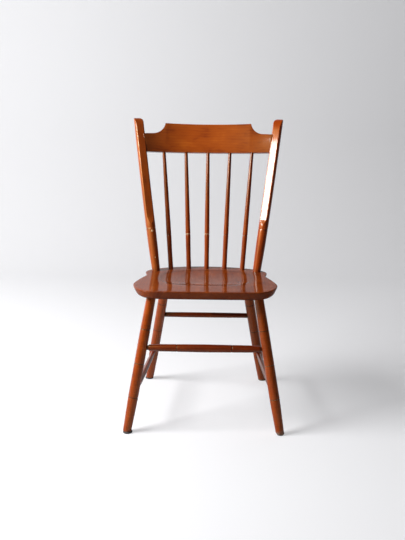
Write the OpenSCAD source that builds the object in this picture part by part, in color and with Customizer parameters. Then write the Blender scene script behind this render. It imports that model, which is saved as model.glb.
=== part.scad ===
// Spindle-back side chair, all of turned, bent and shaped maple.
// +X is to the right seen from the front, +Y runs from front to back, +Z is up.
// The floor is Z = 0, and the origin lies under the middle of the chair's depth.

/* [Seat] */
// Height of the seat's top face at its front edge
seat_height = 442; // [368:1:531]
// Fall of the seat towards the back, in degrees
seat_slope = 3; // [0:0.5:5]
// Widest part of the seat
seat_width = 432; // [360:1:519]
// Depth of the seat from front edge to back edge
seat_depth = 395; // [329:1:474]
// Thickness of the seat blank
seat_thickness = 25; // [21:0.5:30]
// How much narrower the seat is at each back corner than at its widest
ear_set_in = 21; // [10:1:30]
// How much narrower the seat is at each side of the waist than at its widest
waist_set_in = 29; // [15:1:40]
// Distance from the front edge to the widest part of the seat
widest_back = 102; // [85:1:118]
// Distance from the back edge to the back corners
ear_depth = 103; // [90:1:120]
// Distance from the back edge to the waist
waist_depth = 155; // [140:1:175]
// How far the side walls lean in from top to bottom
seat_undercut = 12; // [0:1:16]
// Depth of the hollow carved in the seat
dish_depth = 10; // [2:0.5:12]
// Width of the seat left flat beside the hollow, at its widest
dish_side_margin = 64; // [50:1:80]
// Width of the seat left flat in front of the hollow
dish_front_margin = 88; // [60:1:110]
// Width of the seat left flat behind the hollow
dish_back_margin = 57; // [50:1:70]

/* [Legs] */
// Distance between the front feet
front_feet = 462; // [385:1:554]
// Distance between the rear feet
rear_feet = 398; // [332:1:478]
// How far the front feet stand behind the seat's front edge
front_foot_back = 2; // [-20:1:40]
// How far the rear feet stand behind the seat's front edge
rear_foot_back = 442; // [400:1:530]
// Distance from the seat's widest side to the middle of a front leg's top
front_leg_set_in = 58; // [48:1:75]
// Distance from the side of a back corner to the middle of a rear leg's top
rear_leg_set_in = 66; // [50:1:85]
// Distance from the seat's front edge to the front legs' tops
front_leg_back = 62; // [50:1:80]
// Distance from the seat's back edge to the rear legs' tops
rear_leg_depth = 97; // [85:1:120]
// Diameter of a front leg at its rings
front_leg_d = 30.2; // [25.2:0.1:36.2]
// Diameter of a rear leg at its rings
rear_leg_d = 31.2; // [26:0.1:37.4]
// How much thinner a leg is between its rings
leg_waist = 0.2; // [0:0.1:3]
// How much thinner a leg is at its top than at its rings
leg_top_taper = 2.6; // [0:0.1:6]
// How much thinner a leg is at the foot than at its rings
leg_foot_taper = 6.2; // [0:0.1:8]
// Height above the floor of the lowest ring
ring_low = 108; // [90:1:130]
// Height above the floor of the middle ring
ring_mid = 210; // [180:1:220]
// Height above the floor of the highest ring
ring_high = 313; // [290:1:340]
// Diameter of the tenon at the top of a leg
leg_tenon_d = 19; // [14:0.5:22]

/* [Stretchers] */
// Height of the front stretcher
front_stretcher_z = 257.5; // [235:0.5:285]
// Diameter of the front stretcher at its middle
front_stretcher_d = 24; // [20:0.5:29]
// Diameter of the front stretcher at its shoulders
front_stretcher_end_d = 19; // [16:0.5:22]
// Diameter of the tenon on each end of the front stretcher
front_stretcher_tenon_d = 14; // [10:0.5:16]
// Length of tenon left bare between the front stretcher's shoulder and the leg
shoulder_gap = 4; // [2:0.5:8]
// Distance between the two rings on the front stretcher
front_stretcher_rings = 164; // [120:1:200]
// Height of the rear stretcher
rear_stretcher_z = 266; // [240:1:290]
// Diameter of the rear stretcher at its middle
rear_stretcher_d = 17.5; // [14:0.5:24]
// Diameter of the rear stretcher at its ends
rear_stretcher_end_d = 16; // [12:0.5:18]
// Height of the two side stretchers
side_stretcher_z = 118; // [90:1:160]
// Diameter of a side stretcher at its middle
side_stretcher_d = 18; // [14:0.5:24]
// Diameter of a side stretcher at its ends
side_stretcher_end_d = 14; // [10:0.5:16]
// How far a stretcher's end runs past the middle of the leg
stretcher_reach = 3; // [0:0.5:5]

/* [Back posts] */
// Distance from the side of a back corner to the middle of a post
post_set_in = 31.5; // [28:0.5:45]
// Distance from the seat's back edge to the posts
post_depth = 82; // [76:1:100]
// Rise of the posts above the seat
post_rise = 480; // [400:1:576]
// Outward splay of the posts, in degrees
post_splay = 8.1; // [4:0.1:10]
// Backward lean of a post at the seat, in degrees
post_lean_low = 13; // [8:0.5:18]
// Backward lean of a post at its top, in degrees
post_lean_high = 24.1; // [16:0.1:28]
// Diameter of a post where it meets the seat
post_base_d = 26; // [22:0.5:28]
// Diameter of a post from its ring upwards
post_d = 31.4; // [30:0.1:37.7]
// Distance along the rise from the seat to the ring
post_ring_rise = 134; // [111:1:161]
// Distance from the ring up to where the planed flat begins
flat_above_ring = 14; // [6:1:40]
// Length over which the flat scoops in to its full depth
flat_run_in = 27; // [15:1:40]
// Distance from the post's middle to the planed flat
flat_offset = 10.8; // [9:0.2:13]
// Angle by which the flats are turned inwards
flat_turn = 20; // [0:1:30]
// Radius of the rounded inner corner at the top of a post
thumb_radius = 16; // [8:1:18]
// Length over which the front of a post rolls back at the top
front_roll = 38; // [16:1:45]
// Diameter of the tenon at the foot of a post
post_tenon_d = 16; // [12:0.5:19]

/* [Crest rail] */
// How far the crest rail's lower corners lie below the posts' tops
crest_drop = 103.5; // [92:0.5:130]
// How far the crest rail's ends lie behind the middles of the posts
crest_recess = 1; // [-2:0.5:3]
// Backward lean of the crest rail, in degrees
crest_lean = 20; // [16:0.5:24]
// Height of the raised middle of the crest rail
crest_raised_h = 96; // [82:1:108]
// Height of the crest rail at the bottom of a scoop
crest_scoop_h = 59.5; // [50:0.5:72]
// Height of the crest rail where it meets the posts
crest_end_h = 56.5; // [48:0.5:72]
// Radius of the scoops in the crest rail's shoulders
scoop_radius = 42; // [38:1:60]
// Width of the raised middle
crest_raised_w = 284; // [220:1:320]
// Thickness of the crest rail
crest_thickness = 17; // [16:0.5:21]
// How far the middle of the rail bows back behind its ends
crest_bow = 31; // [26:0.5:36]
// How much lower the ends of the bottom edge hang than its middle
crest_arch = 4.5; // [0:0.5:10]
// Thickness of the tongue on each end of the rail
tongue_thickness = 10; // [7:0.5:13]
// How far the tongue runs past the shoulder into the post
tongue_length = 11; // [7:0.5:12]

/* [Spindles] */
// Distance from one spindle to the next at the seat
spindle_pitch_low = 58.7; // [50:0.1:60]
// Distance from one spindle to the next at the crest rail
spindle_pitch_high = 72.6; // [60:0.1:76]
// Distance from the seat's back edge to the middle spindle
spindle_depth = 37; // [30:1:44]
// How far the outermost spindles stand in front of the middle one
spindle_arc = 12; // [6:1:16]
// Diameter of a spindle at the seat
spindle_base_d = 16; // [13:0.2:18]
// Diameter of a spindle at its ring
spindle_ring_d = 16.6; // [13:0.2:19]
// Diameter of a spindle at the crest rail
spindle_top_d = 11.4; // [9:0.2:12]
// Distance from the seat to a spindle's ring, measured along the spindle
spindle_ring_rise = 112.5; // [90:0.5:135]
// Diameter of the tenon at the foot of a spindle
spindle_tenon_d = 11; // [8:0.5:13]

/* [Glides] */
// Diameter of the three broad glides
glide_d = 28; // [22:1:34]
// Thickness of the three broad glides
glide_h = 6; // [3:0.5:8]
// Diameter of the small glide under the front right foot
small_glide_d = 19; // [14:1:24]
// Thickness of the small glide
small_glide_h = 3; // [2:0.5:5]
// How far the front left glide is nailed towards the middle of the chair
glide_shift = 3; // [0:0.5:5]

/* [Joints] */
// Depth of the blind sockets in the seat
seat_socket = 15; // [10:1:18]
// Depth of the holes for the spindles in the crest rail
crest_socket = 16; // [10:1:30]
// Radial clearance of a tenon in its hole
fit = 0.1; // [0.05:0.05:0.3]
// Space left for glue at the bottom of a hole
glue_space = 1.5; // [0.5:0.5:3]
// Width of the groove cut at a ring
ring_groove_w = 3.2; // [2:0.2:5]
// Depth of the groove cut at a ring
ring_groove_d = 1; // [0.4:0.1:1.6]

/* [Hidden] */
$fn = 64;

// The stain on each kind of piece
maple = "#7d3414";
maple_dark = "#6b2a10";
rubber = "#2b2522";
tan_rubber = "#8d7355";
steel = "#8c8c8c";

// How far cutting shapes run past what they cut, and the size of those that cut at a plane
overshoot = 12;
block = 1200;

// Small sizes that stay as they are
nail_d = 3;
nail_length = 14;
seat_arris = 2;
outer_corner_radius = 3;
front_roll_depth = 16;
shoulder_in = 11.5;
tongue_inset = 10;
shoulder_ease = 2;
stretcher_fall = 1.4;
spindle_shoulder_d = 14.6;
spindle_top_end = 20;
spindle_count = 5;

LEFT = -1;
RIGHT = 1;

// ---- Places -------------------------------------------------------------

// Half widths of the seat at its widest, its waist and its back corners, and of the posts
side_x = seat_width / 2;
waist_x = side_x - waist_set_in;
ear_x = side_x - ear_set_in;
post_x = ear_x - post_set_in;

// Distances back from the seat's front edge, along the seat
waist_y = seat_depth - waist_depth;
ear_y = seat_depth - ear_depth;
post_back = seat_depth - post_depth;

// How far a post has bent back from its foot at a rise above the seat
post_bend = (tan(post_lean_high) - tan(post_lean_low)) / (2 * post_rise);
function post_set_back(rise) = tan(post_lean_low) * rise + post_bend * rise * rise;

// The rise at which the crest rail's lower corners meet the posts, and how far behind
// the seat's front edge the middle of its lower edge lies
crest_rise = post_rise - crest_drop;
crest_back = post_back * cos(seat_slope) + post_set_back(crest_rise)
    + crest_recess + crest_bow * cos(crest_lean);

// The middle of the chair's depth, between its foremost glide and the crest rail's top
frontmost = min(0, front_foot_back - glide_d / 2);
rearmost = crest_back + crest_raised_h * sin(crest_lean) + crest_thickness / 2 * cos(crest_lean);
mid_depth = (frontmost + rearmost) / 2;

// A point on the seat: x across, y back from the front edge, h above the top face
function on_seat(x, y, h = 0) = [
    x,
    y * cos(seat_slope) + h * sin(seat_slope) - mid_depth,
    seat_height - y * sin(seat_slope) + h * cos(seat_slope)
];
module in_seat() {
    translate(on_seat(0, 0)) rotate([-seat_slope, 0, 0]) children();
}

// A leg's axis runs from its foot on the floor to the seat's underside
function foot(side, front) = [
    side * (front ? front_feet : rear_feet) / 2,
    (front ? front_foot_back : rear_foot_back) - mid_depth,
    0
];
function leg_top(side, front) = on_seat(
    side * (front ? side_x - front_leg_set_in : ear_x - rear_leg_set_in),
    front ? front_leg_back : seat_depth - rear_leg_depth,
    -seat_thickness
);
function leg_at(side, front, z) =
    let (low = foot(side, front), high = leg_top(side, front))
    low + (high - low) * z / high[2];

// A post's axis, splayed outwards and bent back ever more as it rises
function post_at(side, rise) =
    on_seat(side * post_x, post_back)
    + [side * tan(post_splay) * rise, post_set_back(rise), rise];
function post_tangent(side, rise) =
    unit([side * tan(post_splay), tan(post_lean_low) + 2 * post_bend * rise, 1]);

// The crest rail is bent to a circle through its middle and its two ends
crest_half_span = post_at(RIGHT, crest_rise)[0];
crest_radius = (crest_half_span * crest_half_span + crest_bow * crest_bow) / (2 * crest_bow);
function crest_sag(x) = sqrt(crest_radius * crest_radius - x * x) - crest_radius;
function crest_bottom(x) = -crest_arch * pow(x / crest_half_span, 2);
crest_height = post_at(RIGHT, crest_rise)[2] - crest_bow * sin(crest_lean);
function in_crest_at(x, y, z) = [
    x,
    crest_back - mid_depth + y * cos(crest_lean) + z * sin(crest_lean),
    crest_height - y * sin(crest_lean) + z * cos(crest_lean)
];
module in_crest() {
    translate(in_crest_at(0, 0, 0)) rotate([-crest_lean, 0, 0]) children();
}

// A spindle's axis runs from the seat to the crest rail's lower edge
spindle_mid = (spindle_count + 1) / 2;
function spindle_low(i) = on_seat(
    (i - spindle_mid) * spindle_pitch_low,
    seat_depth - spindle_depth - spindle_arc * pow((i - spindle_mid) / (spindle_mid - 1), 2)
);
function spindle_high(i) =
    let (x = (i - spindle_mid) * spindle_pitch_high)
    in_crest_at(x, crest_sag(x), crest_bottom(x));

// ---- Helpers ------------------------------------------------------------

function unit(v) = v / norm(v);

// Places children made along +Z on the line from one point towards another
module along(from, to) {
    way = to - from;
    translate(from)
        rotate([0, acos(way[2] / norm(way)), atan2(way[1], way[0])])
            children();
}

// The grooved ring of a bamboo turning, as outline points
function ring_points(r, at) = [
    [r, at - ring_groove_w / 2],
    [r - ring_groove_d, at],
    [r, at + ring_groove_w / 2]
];

// Turns an outline of [radius, height] points that runs from bottom to top, and starts
// the turn a quarter round, clear of the plane in which the piece leans
module turning(outline) {
    bottom = outline[0][1];
    top = outline[len(outline) - 1][1];
    rotate([0, 0, 90]) rotate_extrude()
        polygon(concat([[0, bottom]], outline, [[0, top]]));
}

// Closes a stack of equal rings of points into one solid, with an apex at each end
module skin(rings, first, last) {
    count = len(rings[0]);
    rows = len(rings);
    points = concat([for (ring = rings) each ring], [first, last]);
    walls = [
        for (row = [0:rows - 2], i = [0:count - 1])
            let (j = (i + 1) % count, a = row * count, b = a + count)
            each [[a + i, b + i, b + j], [a + i, b + j, a + j]]
    ];
    start = [for (i = [0:count - 1]) [rows * count, i, (i + 1) % count]];
    last_row = (rows - 1) * count;
    end = [for (i = [0:count - 1]) [rows * count + 1, last_row + (i + 1) % count, last_row + i]];
    polyhedron(points = points, faces = concat(start, walls, end), convexity = 6);
}

// ---- Seat ---------------------------------------------------------------

// A smooth curve through a list of points
function spline(p, steps) = [
    for (i = [0:len(p) - 2], s = [0:steps - 1])
        let (
            a = p[max(i - 1, 0)], b = p[i], c = p[i + 1], d = p[min(i + 2, len(p) - 1)],
            t = s / steps
        )
        b + t / 2 * ((c - a) + t * ((2 * a - 5 * b + 4 * c - d) + t * (3 * b - a - 3 * c + d)))
];

// The front edge's fall back over half its width and towards the corner, how far the front
// corner's turn lies in from the widest side and back from the front edge, how far the side
// has come in halfway to the waist, and the length of the waist
front_falls = [1.2, 6.4];
corner_in = 17;
corner_back = 40;
side_in = 10;
waist_length = 16;

// Right half of the seat's outline, from the front middle round to the back middle
front_and_side = spline([
    [0, 0],
    [side_x * 0.42, front_falls[0]],
    [side_x * 0.76, front_falls[1]],
    [side_x - corner_in, corner_back],
    [side_x, widest_back],
    [side_x - side_in, (widest_back + waist_y) / 2],
    [waist_x, waist_y]
], 7);
ear_side = [[waist_x, waist_y], [waist_x + 2, waist_y + waist_length], [ear_x - 1, ear_y - 12]];
back_curve = [
    for (a = [0:6:90]) [ear_x * cos(a), ear_y + (seat_depth - ear_y) * sin(a)]
];
right_half = concat(front_and_side, ear_side, back_curve);
seat_outline = concat(
    right_half,
    [for (i = [len(right_half) - 2:-1:1]) [-right_half[i][0], right_half[i][1]]]
);

// The hollow is deepest in the middle and fades out at a rounded border
dish_half_w = side_x - dish_side_margin;
dish_half_l = (seat_depth - dish_front_margin - dish_back_margin) / 2;
dish_mid_y = dish_front_margin + dish_half_l;
dish_roundness = 2.6;
function dish_reach(p) =
    pow(abs(p[0]) / dish_half_w, dish_roundness)
    + pow(abs(p[1] - dish_mid_y) / dish_half_l, dish_roundness);
function dish_at(p) =
    let (u = dish_reach(p))
    u < 1 ? -dish_depth * (1 - pow(u, 0.85)) : 0;

// A copy of the outline drawn in towards the middle by about that many millimetres
seat_mid = [0, seat_depth * 0.48];
seat_mean_radius = 200;
function drawn_in(inset) = [
    for (p = seat_outline) seat_mid + (p - seat_mid) * (1 - inset / seat_mean_radius)
];
function seat_ring(inset, h) = [for (p = drawn_in(inset)) [p[0], p[1], h]];
function top_ring(inset) = [for (p = drawn_in(inset)) [p[0], p[1], dish_at(p)]];

// The side wall from bottom to top, as shares of the undercut and of the thickness
wall_profile = [[1, 1], [0.72, 0.93], [0.52, 0.78], [0.28, 0.5], [0.08, 0.22]];

module seat_blank() {
    skin(
        concat(
            [for (w = wall_profile) seat_ring(seat_undercut * w[0], -seat_thickness * w[1])],
            [
                seat_ring(0, -seat_arris),
                seat_ring(seat_arris * 0.3, -seat_arris * 0.3),
                seat_ring(seat_arris, 0)
            ],
            [for (inset = [12:10:192]) top_ring(inset)]
        ),
        [seat_mid[0], seat_mid[1], -seat_thickness],
        [seat_mid[0], seat_mid[1], dish_at(seat_mid)]
    );
}

module socket(from, to, d, depth) {
    way = unit(to - from);
    along(from - way * overshoot, to)
        cylinder(d = d + 2 * fit, h = depth + overshoot + glue_space);
}

module seat() {
    color(maple) difference() {
        in_seat() seat_blank();
        for (side = [LEFT, RIGHT]) {
            for (front = [true, false])
                socket(
                    leg_top(side, front),
                    2 * leg_top(side, front) - foot(side, front),
                    leg_tenon_d,
                    seat_socket
                );
            socket(
                post_at(side, 0),
                post_at(side, 0) - post_tangent(side, 0),
                post_tenon_d,
                seat_socket
            );
        }
        for (i = [1:spindle_count])
            socket(
                spindle_low(i),
                2 * spindle_low(i) - spindle_high(i),
                spindle_tenon_d,
                seat_socket
            );
    }
}

// ---- Legs ---------------------------------------------------------------

// All that lies below a height, above the seat's underside, and below its top face
module below(z) {
    translate([-block / 2, -block / 2, z - block]) cube(block);
}
module above_underside() {
    in_seat() translate([-block / 2, -block / 2, -seat_thickness]) cube(block);
}
module below_top_face() {
    in_seat() translate([-block / 2, -block / 2, -block]) cube(block);
}

function leg_outline(d, length, rise) =
    let (r = d / 2, k = length / rise, waist = r - leg_waist / 2)
    concat(
        [[r - leg_foot_taper / 2, -overshoot]],
        ring_points(r, ring_low * k),
        [[waist, (ring_low + ring_mid) / 2 * k]],
        ring_points(r, ring_mid * k),
        [[waist, (ring_mid + ring_high) / 2 * k]],
        ring_points(r, ring_high * k),
        [[r - leg_top_taper / 2, length]],
        [[r - leg_top_taper / 2, length + overshoot]]
    );

module leg(side, front, foot_h, nail_at) {
    low = foot(side, front);
    high = leg_top(side, front);
    length = norm(high - low);
    z = side_stretcher_z;
    cross_z = front ? front_stretcher_z : rear_stretcher_z;
    cross_d = front ? front_stretcher_tenon_d : rear_stretcher_end_d;
    leg_d = front ? front_leg_d : rear_leg_d;
    color(maple) difference() {
        union() {
            difference() {
                along(low, high)
                    turning(leg_outline(leg_d, length, high[2]));
                above_underside();
            }
            along(low, high)
                translate([0, 0, length - overshoot])
                    cylinder(d = leg_tenon_d, h = overshoot + seat_socket);
        }
        below(foot_h);
        bored_end(leg_at(side, front, z), leg_at(side, !front, z), side_stretcher_end_d, leg_d);
        bored_end(leg_at(side, front, cross_z), leg_at(-side, front, cross_z), cross_d, leg_d);
        translate([nail_at[0], nail_at[1], 0])
            cylinder(d = nail_d + 2 * fit, h = foot_h + nail_length + glue_space);
    }
}

// The hole that a stretcher's end sits in, from inside the leg out towards the other leg
module bored_end(here, there, d, leg_d) {
    way = unit(there - here);
    along(here - way * (stretcher_reach + glue_space), there)
        cylinder(d = d + 2 * fit, h = stretcher_reach + glue_space + leg_d);
}

module front_left_leg() {
    leg(LEFT, true, glide_h, front_left_glide_at);
}
module front_right_leg() {
    leg(RIGHT, true, small_glide_h, foot(RIGHT, true));
}
module rear_left_leg() {
    leg(LEFT, false, glide_h, foot(LEFT, false));
}
module rear_right_leg() {
    leg(RIGHT, false, glide_h, foot(RIGHT, false));
}

// ---- Stretchers ---------------------------------------------------------

// A round bar that swells to its middle from an end diameter at that distance along it,
// has tenons on its ends, and has its rings, if any, that far apart
module stretcher(a, b, mid_d, end_d, end_at, tenon_d, rings) {
    length = norm(b - a) + 2 * stretcher_reach;
    way = unit(b - a);
    mid = length / 2;
    full_d = mid_d - stretcher_fall;
    ring_at = mid - rings / 2;
    fuller_at = end_at + (ring_at - end_at) * 0.4;
    fuller_d = end_d + (full_d - end_d) * 0.75;
    swell = rings > 0
        ? concat(
            [[fuller_d / 2, fuller_at]],
            ring_points(full_d / 2, ring_at),
            [[mid_d / 2, mid]],
            ring_points(full_d / 2, length - ring_at),
            [[fuller_d / 2, length - fuller_at]]
        )
        : [[(end_d + mid_d * 3) / 8, mid * 0.5], [mid_d / 2, mid], [(end_d + mid_d * 3) / 8, mid * 1.5]];
    color(maple) along(a - way * stretcher_reach, b)
        turning(concat(
            [[tenon_d / 2, 0], [tenon_d / 2, end_at], [end_d / 2, end_at + shoulder_ease]],
            swell,
            [[end_d / 2, length - end_at - shoulder_ease], [tenon_d / 2, length - end_at]],
            [[tenon_d / 2, length]]
        ));
}

module front_stretcher() {
    z = front_stretcher_z;
    stretcher(
        leg_at(LEFT, true, z), leg_at(RIGHT, true, z),
        front_stretcher_d, front_stretcher_end_d,
        stretcher_reach + front_leg_d / 2 + shoulder_gap,
        front_stretcher_tenon_d, front_stretcher_rings
    );
}
module rear_stretcher() {
    z = rear_stretcher_z;
    stretcher(
        leg_at(LEFT, false, z), leg_at(RIGHT, false, z),
        rear_stretcher_d, rear_stretcher_end_d,
        stretcher_reach + rear_leg_d / 2, rear_stretcher_end_d, 0
    );
}
module side_stretcher(side) {
    z = side_stretcher_z;
    stretcher(
        leg_at(side, true, z), leg_at(side, false, z),
        side_stretcher_d, side_stretcher_end_d,
        stretcher_reach + rear_leg_d, side_stretcher_end_d, 0
    );
}
module left_stretcher() {
    side_stretcher(LEFT);
}
module right_stretcher() {
    side_stretcher(RIGHT);
}

// ---- Back posts ---------------------------------------------------------

// Radius of a post at a rise above the seat
function post_radius(rise) =
    let (
        base = post_base_d / 2,
        full = post_d / 2,
        swell = base + (full - base) * sin(90 * max(0, min(1, rise / post_ring_rise))),
        groove = max(0, 1 - abs(rise - post_ring_rise) / (ring_groove_w / 2))
    )
    swell - ring_groove_d * groove;

// Distance from the post's middle to its front face, less where the flat is planed
flat_start = post_ring_rise + flat_above_ring;
function front_face(rise) =
    let (
        full = post_d / 2,
        run = max(0, min(1, (rise - flat_start) / flat_run_in)),
        roll = max(0, 1 - (post_rise - rise) / front_roll),
        rolled = front_roll_depth * (1 - sqrt(max(0, 1 - roll * roll)))
    )
    rise < flat_start ? full : full - (full - flat_offset) * sin(90 * run) - rolled;

// Half width left by a corner of that radius rounded over at the top of the post
function corner_limit(rise, radius) =
    let (over = max(0, radius - (post_rise - rise)))
    post_d / 2 - radius + sqrt(max(0, radius * radius - over * over));

post_sides = 40;
function post_ring(side, rise) =
    let (
        up = post_tangent(side, rise),
        facing = [-side * sin(flat_turn), -cos(flat_turn), 0],
        front = unit(facing - up * (facing * up)),
        inward = unit(cross(front, up)) * side,
        mid = post_at(side, rise),
        r = post_radius(rise),
        inner = corner_limit(rise, thumb_radius),
        outer = corner_limit(rise, outer_corner_radius)
    )
    [
        for (i = [0:post_sides - 1])
            let (
                a = -side * 360 * i / post_sides,
                f = min(r * cos(a), front_face(rise)),
                w = max(-outer, min(inner, r * sin(a)))
            )
            mid + front * f + inward * w
    ];

top_steps = [0.2, 1.2, 3, 6, 10, 16, 24, 32];
last_step = len(top_steps) - 1;
post_rises = concat(
    [-overshoot, 0, 15, 35, 60, 85, 110],
    [post_ring_rise - ring_groove_w / 2, post_ring_rise, post_ring_rise + ring_groove_w / 2],
    [for (s = [0:5]) flat_start + flat_run_in * s / 5],
    [for (s = [1:11]) flat_start + flat_run_in
        + (post_rise - top_steps[last_step] - flat_start - flat_run_in) * s / 12],
    [for (s = [last_step:-1:0]) post_rise - top_steps[s]]
);

module post_body(side) {
    rings = [for (rise = post_rises) post_ring(side, rise)];
    skin(rings, post_at(side, -overshoot), post_at(side, post_rise - top_steps[0]));
}

module back_post(side) {
    foot_at = post_at(side, 0);
    way = post_tangent(side, 0);
    color(maple) difference() {
        union() {
            difference() {
                post_body(side);
                below_top_face();
            }
            along(foot_at - way * seat_socket, foot_at)
                cylinder(d = post_tenon_d, h = seat_socket + overshoot);
        }
        in_crest() crest_blank(fit, glue_space);
    }
}
module back_post_left() {
    back_post(LEFT);
}
module back_post_right() {
    back_post(RIGHT);
}

// ---- Crest rail ---------------------------------------------------------

// Half of the rail's length to its shoulder, which follows the post's splay
function crest_reach(z) =
    crest_half_span - shoulder_in + tan(post_splay) * z * cos(crest_lean);

// The rail's outline seen square on, made larger all round by grow
module crest_outline(grow, ends) {
    low = crest_bottom(crest_half_span);
    above = scoop_radius - (crest_raised_h - crest_scoop_h);
    scoop_end = crest_raised_w / 2 + sqrt(scoop_radius * scoop_radius - above * above);
    difference() {
        polygon(concat(
            [for (s = [-8:8])
                let (x = s / 8 * (crest_reach(low) + ends))
                [x, crest_bottom(x) - grow]],
            [[crest_reach(crest_end_h) + ends, crest_end_h + grow]],
            [[scoop_end, crest_scoop_h + grow]],
            [[scoop_end, crest_raised_h + grow]],
            [[-scoop_end, crest_raised_h + grow]],
            [[-scoop_end, crest_scoop_h + grow]],
            [[-crest_reach(crest_end_h) - ends, crest_end_h + grow]]
        ));
        for (side = [LEFT, RIGHT])
            translate([side * scoop_end, crest_scoop_h + scoop_radius])
                circle(r = scoop_radius - grow);
    }
}

// A plate of that thickness, bent to the rail's circle
module bent_plate(thickness) {
    translate([0, -crest_radius, -block / 2])
        difference() {
            cylinder(r = crest_radius + thickness / 2, h = block, $fn = 360);
            translate([0, 0, -1])
                cylinder(r = crest_radius - thickness / 2, h = block + 2, $fn = 360);
        }
}

// The rail without its spindle holes, or the pocket for it when it is grown
module crest_blank(grow, extra) {
    intersection() {
        bent_plate(crest_thickness + 2 * grow);
        seen_square_on() crest_outline(grow, grow);
    }
    intersection() {
        bent_plate(tongue_thickness + 2 * grow);
        seen_square_on() tongue_outline(grow, tongue_length + extra);
    }
}
module seen_square_on() {
    rotate([90, 0, 0])
        translate([0, 0, -crest_bow])
            linear_extrude(height = 3 * crest_bow)
                children();
}

module tongue_outline(grow, ends) {
    low = tongue_inset - grow;
    high = crest_end_h - tongue_inset + grow;
    polygon([
        [-crest_reach(low) - ends, low],
        [crest_reach(low) + ends, low],
        [crest_reach(high) + ends, high],
        [-crest_reach(high) - ends, high]
    ]);
}

module crest_rail() {
    color(maple_dark) difference() {
        in_crest() crest_blank(0, 0);
        for (i = [1:spindle_count])
            along(spindle_high(i) - unit(spindle_high(i) - spindle_low(i)) * overshoot, spindle_high(i))
                cylinder(d = spindle_top_d + 2 * fit, h = overshoot + crest_socket + glue_space);
    }
}

// ---- Spindles -----------------------------------------------------------

module spindle(i) {
    low = spindle_low(i);
    high = spindle_high(i);
    length = norm(high - low);
    way = unit(high - low);
    color(maple_dark) {
        difference() {
            along(low, high)
                turning(concat(
                    [[spindle_base_d / 2, -overshoot], [spindle_base_d / 2, 0]],
                    [[spindle_shoulder_d / 2, spindle_ring_rise * 0.45]],
                    ring_points(spindle_ring_d / 2, spindle_ring_rise),
                    [[(spindle_ring_d + spindle_top_d) / 4, (length + spindle_ring_rise) / 2]],
                    [[spindle_top_d / 2, length - spindle_top_end]],
                    [[spindle_top_d / 2, length + crest_socket]]
                ));
            below_top_face();
        }
        along(low - way * seat_socket, low)
            cylinder(d = spindle_tenon_d, h = seat_socket + overshoot);
    }
}
module spindle_1() {
    spindle(1);
}
module spindle_2() {
    spindle(2);
}
module spindle_3() {
    spindle(3);
}
module spindle_4() {
    spindle(4);
}
module spindle_5() {
    spindle(5);
}

// ---- Glides -------------------------------------------------------------

front_left_glide_at = foot(LEFT, true) + [glide_shift, 0, 0];

// A round pad with a nail up its middle
module glide(at, d, h, tone) {
    edge = h / 3;
    color(tone) translate([at[0], at[1], 0])
        rotate_extrude()
            polygon([
                [0, 0],
                [d / 2 - edge, 0],
                [d / 2, edge],
                [d / 2, h - edge],
                [d / 2 - edge, h],
                [nail_d / 2, h],
                [nail_d / 2, h + nail_length],
                [0, h + nail_length]
            ]);
}
module front_left_glide() {
    glide(front_left_glide_at, glide_d, glide_h, rubber);
}
module front_right_glide() {
    glide(foot(RIGHT, true), small_glide_d, small_glide_h, steel);
}
module rear_left_glide() {
    glide(foot(LEFT, false), glide_d, glide_h, rubber);
}
module rear_right_glide() {
    glide(foot(RIGHT, false), glide_d, glide_h, tan_rubber);
}

seat();
crest_rail();
back_post_left();
back_post_right();
spindle_1();
spindle_2();
spindle_3();
spindle_4();
spindle_5();
front_left_leg();
front_right_leg();
rear_left_leg();
rear_right_leg();
front_stretcher();
rear_stretcher();
left_stretcher();
right_stretcher();
front_left_glide();
front_right_glide();
rear_left_glide();
rear_right_glide();
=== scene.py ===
# %% [markdown]
# # A spindle-back side chair in stained maple
#
# The real chair is a factory copy of a Windsor: a shaped plank seat, four splayed legs turned to
# look like bamboo, five slim spindles, two bent back posts with a planed flat, and a bent crest
# rail. It was stained a deep orange brown, glazed dark in the grooves, and lacquered. Years of use
# have knocked small pale chips out of the finish.
#
# The sizes of the chair are fixed by its CAD model, which is loaded first as a frame. Each cell
# below makes one piece or one finish, and puts it where the frame says.

import math
import random

import bmesh
import bpy
from mathutils import Matrix, Vector


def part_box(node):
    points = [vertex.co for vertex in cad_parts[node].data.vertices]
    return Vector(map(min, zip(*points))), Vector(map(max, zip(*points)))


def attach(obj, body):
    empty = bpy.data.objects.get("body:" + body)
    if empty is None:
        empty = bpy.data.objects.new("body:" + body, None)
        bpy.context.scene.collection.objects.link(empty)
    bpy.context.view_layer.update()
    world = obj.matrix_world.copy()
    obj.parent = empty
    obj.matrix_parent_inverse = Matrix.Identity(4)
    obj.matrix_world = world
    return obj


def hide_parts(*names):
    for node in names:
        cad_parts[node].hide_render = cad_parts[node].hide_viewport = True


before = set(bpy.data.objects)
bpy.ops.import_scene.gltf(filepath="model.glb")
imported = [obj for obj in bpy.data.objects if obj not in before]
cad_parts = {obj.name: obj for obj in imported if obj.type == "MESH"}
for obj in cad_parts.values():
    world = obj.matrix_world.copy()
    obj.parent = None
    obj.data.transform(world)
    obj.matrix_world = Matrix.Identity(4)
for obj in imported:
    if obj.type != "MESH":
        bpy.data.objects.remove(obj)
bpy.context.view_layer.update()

# %% [markdown]
# ## Units, slices and axes
#
# A joiner thinks in millimetres, so each piece is modelled in millimetres in a frame of its own,
# with its length along Z, and one matrix then sets it in the chair. The matrices come from the
# frame: a thin slice through a turned CAD node shows where the middle of the turning runs, and
# two slices give its axis. Nothing has to be measured twice that way.

# %% Mesh helpers
MM = 0.001


def verts_in(geom):
    return [g for g in geom if isinstance(g, bmesh.types.BMVert)]


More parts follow.
